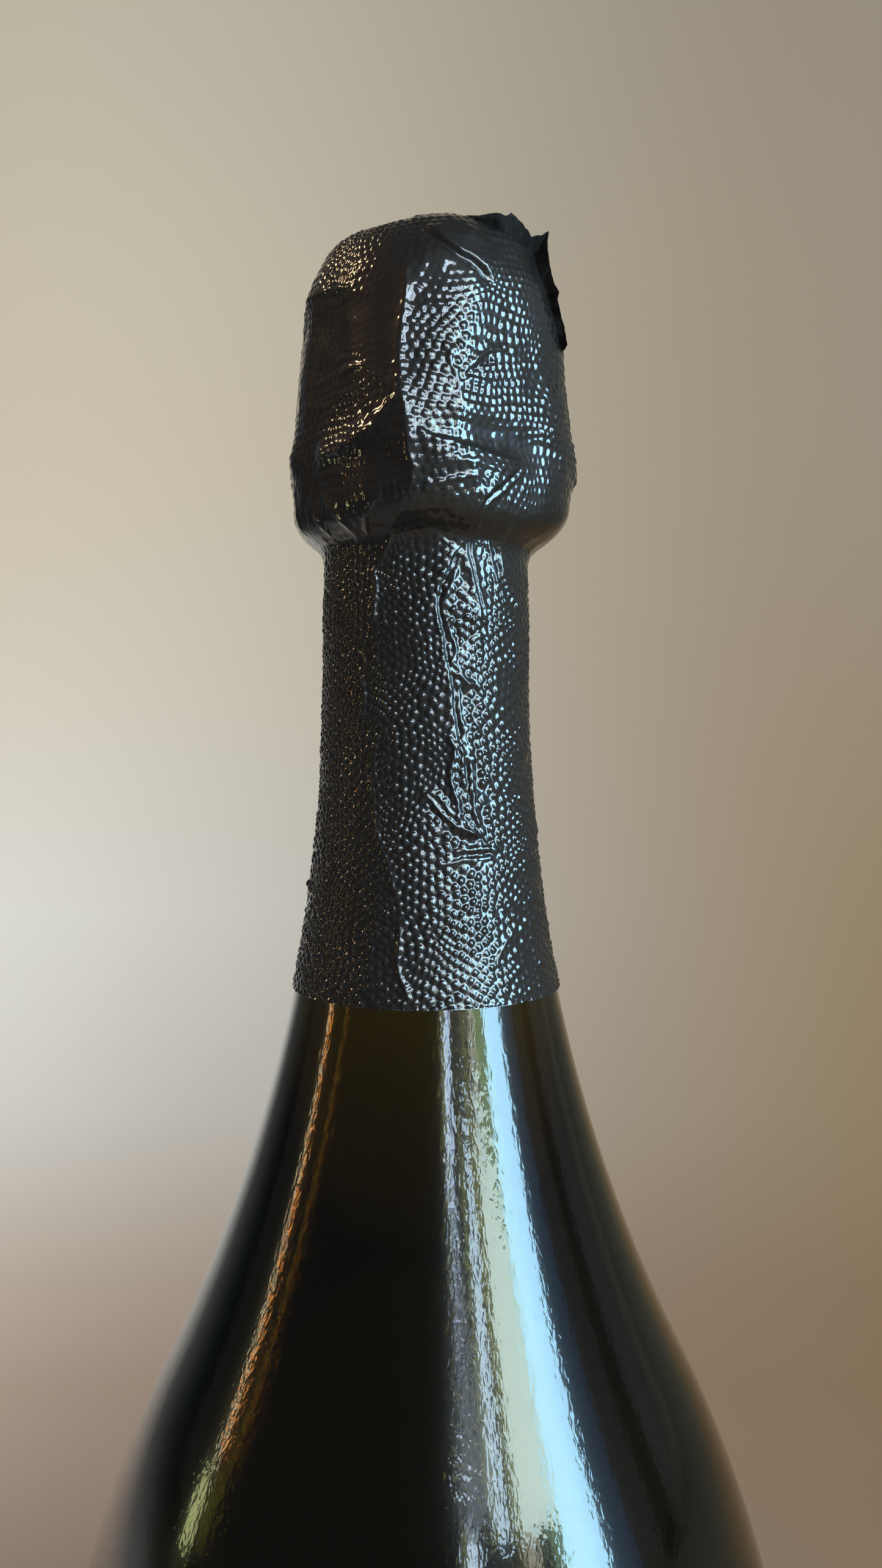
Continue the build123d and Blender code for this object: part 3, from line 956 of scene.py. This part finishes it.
def granulatedCork():  # cork granules glued and pressed, cut smooth
    material, tree = newMaterial("cork")
    place = addNode(tree, "TexCoord").outputs["Object"]
    grain = addNode(tree, "TexVoronoi", {"Scale": 1 / (2 * mm)}, {"Vector": place})
    tone = addNode(tree, "ValToRGB", links={"Fac": grain.outputs["Color"]})
    tone.color_ramp.elements[0].color = hexToLinear("#8f6a44")
    tone.color_ramp.elements[1].color = hexToLinear("#c9a67a")
    colour = {"Base Color": tone.outputs["Color"]}
    shader = addNode(tree, "BsdfPrincipled", {"Roughness": 0.85}, colour)
    addNode(tree, "OutputMaterial", links={"Surface": shader.outputs["BSDF"]})
    return material


foilMaterial = lacqueredFoil()
finishPiece(glass, bottleGlass(), "bottle_glass", "bottle")
finishPiece(wine, paleWine(), "wine", "wine")
finishPiece(cork, granulatedCork(), "cork", "closure")
for piece in foilPieces:
    finishPiece(piece, foilMaterial, "capsule_foil", "foil_capsule")
# the torn strip, dark as painted shade
finishPiece(torn, tornFoilPaintedShade(), "capsule_foil", "foil_capsule")
finishPiece(cutEdge, bareAluminium(), "capsule_foil", "foil_capsule")
print("materials set")


# stage: a floor that turns up into a wall, in metres
stageSet = {"halfWidth": 3.0, "front": -0.5, "curveStart": 0.35, "curveRadius": 0.75, "top": 3.0, "steps": 24}
g = stageSet
sweep = [(g["front"], 0.0), (g["curveStart"], 0.0)]
for step in range(1, g["steps"] + 1):
    swing = math.radians(90 * step / g["steps"])
    back = g["curveStart"] + g["curveRadius"] * math.sin(swing)
    sweep.append((back, g["curveRadius"] * (1 - math.cos(swing))))
sweep.append((g["curveStart"] + g["curveRadius"], g["top"]))
sweep = np.array(sweep)
deselectAll()
bpy.ops.mesh.primitive_grid_add(x_subdivisions=1, y_subdivisions=len(sweep) - 1, size=2)
backdrop = bpy.context.object
backdrop.name = "backdrop"
flat = getPoints(backdrop.data)
order = np.rint((flat[:, 1] + 1) / 2 * (len(sweep) - 1)).astype(int)
setPoints(backdrop.data, np.stack([flat[:, 0] * g["halfWidth"], sweep[order, 0], sweep[order, 1]], 1))
bpy.ops.object.shade_smooth()

wallPaintedLightSet = {  # paint tones from the front of the floor to the wall, by distance back, in metres; they hold painted light and shade: browner to the right as painted warm light, darker towards the front of the floor, partly the floor's own tan and partly painted shade
    "left": [(0.27, "#a69d98"), (0.535, "#c9cbcc"), (0.75, "#dad7d4"), (1.08, "#decbb3")],
    "right": [(0.27, "#aa7b4d"), (0.535, "#ae8659"), (0.75, "#b08c68"), (1.08, "#b8997f")],
    "halfWidth": 0.45,  # over which left turns to right
    "depth": 1.2,
    # painted shade: far to each side the wall is painted dark for the unlit room, which glass and foil mirror
    # there
    "farLeftPaintedShade": "#5d636b",
    "farRightPaintedShade": "#837460",
    "plain": 0.1,  # the painted far shade starts this far out, and further by spread for each metre back
    "reach": 0.42,  # and is full this far out
    "spread": 0.4,
}


def wallPaintedLightAndShade():  # matt wall paint, rolled on: warm white, with the room's light and shade painted in: browner to the right as painted warm light, darker towards the front of the floor and far to the sides as painted shade
    material, tree = newMaterial("wall_paint_with_painted_light_and_shade")
    place = addNode(tree, "TexCoord").outputs["Object"]
    split = addNode(tree, "SeparateXYZ", links={"Vector": place})
    limits = {"From Min": -wallPaintedLightSet["halfWidth"], "From Max": wallPaintedLightSet["halfWidth"]}
    sideways = {"Value": split.outputs["X"]}
    across = addNode(tree, "MapRange", limits, sideways, interpolation_type="SMOOTHSTEP")
    limits = {"From Min": 0.0, "From Max": wallPaintedLightSet["depth"]}
    away = addNode(tree, "MapRange", limits, {"Value": split.outputs["Y"]})
    sides = []
    # tones by distance back, which hold painted light and shade
    for tones in (wallPaintedLightSet["left"], wallPaintedLightSet["right"]):
        ramp = addNode(tree, "ValToRGB", links={"Fac": away.outputs["Result"]})
        while len(ramp.color_ramp.elements) < len(tones):
            ramp.color_ramp.elements.new(0.5)
        for stop, (y, tone) in zip(ramp.color_ramp.elements, tones):
            stop.position = y / wallPaintedLightSet["depth"]
            stop.color = hexToLinear(tone)
        sides.append(ramp.outputs["Color"])
    mixed = addNode(tree, "Mix", data_type="RGBA")
    tree.links.new(across.outputs["Result"], mixed.inputs[0])
    tree.links.new(sides[0], mixed.inputs[6])
    tree.links.new(sides[1], mixed.inputs[7])
    # painted shade far to each side
    for side, tone in ((-1, wallPaintedLightSet["farLeftPaintedShade"]), (1, wallPaintedLightSet["farRightPaintedShade"])):
        places = {0: split.outputs["Y"], 2: split.outputs["X"]}
        nearer = {1: -side * wallPaintedLightSet["spread"]}
        spread = addNode(tree, "Math", nearer, places, operation="MULTIPLY_ADD")
        limits = {"From Min": side * wallPaintedLightSet["plain"], "From Max": side * wallPaintedLightSet["reach"]}
        beyond = addNode(tree, "MapRange", limits, {"Value": spread.outputs[0]})
        inner = mixed.outputs[2]
        mixed = addNode(tree, "Mix", data_type="RGBA")
        mixed.inputs[7].default_value = hexToLinear(tone)
        tree.links.new(beyond.outputs["Result"], mixed.inputs[0])
        tree.links.new(inner, mixed.inputs[6])
    matt = {"Roughness": 0.9, "Specular IOR Level": 0.2}
    shader = addNode(tree, "BsdfPrincipled", matt, {"Base Color": mixed.outputs[2]})
    addNode(tree, "OutputMaterial", links={"Surface": shader.outputs["BSDF"]})
    return material


backdrop.data.materials.append(wallPaintedLightAndShade())


# light: degrees round from the front, degrees wide, lowest and highest degrees above the shoulder,
# radiance, colour
lamps = {
    "window": (55.6, 15.6, -5, 36, 17.0, "#abe0ff"),
    "windowCurtain": (40.6, 13.8, 11.6, 36, 12.5, "#cde6e8"),
    "windowCurtainLow": (36.5, 4.1, -5, 11.4, 6.0, "#d8d3bd"),
    "windowFrame": (27.5, 4.2, 12.7, 36, 14.0, "#c4e0f5"),
    "windowSide": (16.2, 4.4, 9, 14.2, 16.0, "#b8d0ea"),
    "windowSideMiddle": (15.8, 4.6, 14.2, 16, 6.0, "#b4c6de"),
    "windowSideLow": (15.8, 4.6, 16, 19, 1.4, "#a9bdd6"),
    "windowSideHigh": (14.8, 6.6, 19, 38, 13.0, "#c8dcf0"),
    "windowHaze": (21.5, 8.5, 15.7, 19, 2.0, "#b4c2d6"),
    "windowHazeHigh": (21.5, 8.5, 19, 38, 8.0, "#c3d2e0"),
    "windowGlow": (69, 11, -5, 36, 0.55, "#9bc6ff"),
    "roomNear": (80.5, 11.5, -8, 36, 0.17, "#d6ccc8"),
    "roomRight": (113, 36, -8, 36, 0.17, "#cfcfd2"),
    "paleGreen": (-88.3, 4.5, -4.9, 2.4, 4.3, "#f7ffb1"),
    "warmStrip": (-85.4, 1.6, 5.1, 8.5, 12.0, "#ff9a2e"),
    "creamStrip": (-86.8, 1.0, 3.4, 6.5, 9.0, "#e6e8c4"),
    "warmLamp": (-98, 9, 36, 47, 23.0, "#ffd9a6"),
}

lampSet = {"distance": 1.6, "level": 0.18}  # from the axis, and the level of the shoulder, in metres
wallLampSet = {"size": 0.5, "energy": 3.5, "colour": "#ffefdb", "place": (-0.5, 0.15, 0.28), "tilt": 78}


def addLamp(name, size, energy, colour, place, tilt, turn):
    lampData = bpy.data.lights.new(name, "AREA")
    lampData.shape = "RECTANGLE"
    lampData.size, lampData.size_y = size
    lampData.energy = energy
    lampData.color = hexToLinear(colour)[:3]
    lamp = bpy.data.objects.new(name, lampData)
    lamp.location = place
    lamp.rotation_euler = (math.radians(tilt), 0, turn)
    lamp.visible_camera = False
    bpy.context.scene.collection.objects.link(lamp)


for name, (turned, wide, low, high, radiance, colour) in lamps.items():
    turn = math.radians(turned)
    far = lampSet["distance"]
    bottom, top = (lampSet["level"] + far * math.tan(math.radians(e)) for e in (low, high))
    size = (2 * far * math.tan(math.radians(wide / 2)), top - bottom)
    place = (far * math.sin(turn), -far * math.cos(turn), (bottom + top) / 2)
    addLamp(name, size, radiance * math.pi * size[0] * size[1], colour, place, 90, turn)
w = wallLampSet
addLamp("wallLamp", (w["size"], w["size"]), w["energy"], w["colour"], w["place"], w["tilt"], 0)

worldSet = {
    "dim": {"Color": hexToLinear("#a2a4a5"), "Strength": 0.17},  # the room, as glass and foil mirror it
    "pale": {"Color": hexToLinear("#cfc8ba"), "Strength": 1.0},  # beyond the backdrop, in other views
}
world = bpy.data.worlds.new("room")
bpy.context.scene.world = world
world.use_nodes = True
tree = world.node_tree
tree.nodes.clear()
rays = addNode(tree, "LightPath")
dim = addNode(tree, "Background", worldSet["dim"])
pale = addNode(tree, "Background", worldSet["pale"])
both = addNode(tree, "MixShader", links={"Fac": rays.outputs["Is Camera Ray"]})
tree.links.new(dim.outputs["Background"], both.inputs[1])
tree.links.new(pale.outputs["Background"], both.inputs[2])
addNode(tree, "OutputWorld", links={"Surface": both.outputs["Shader"]})
bpy.context.scene.view_settings.view_transform = "Standard"
print("stage and light set")
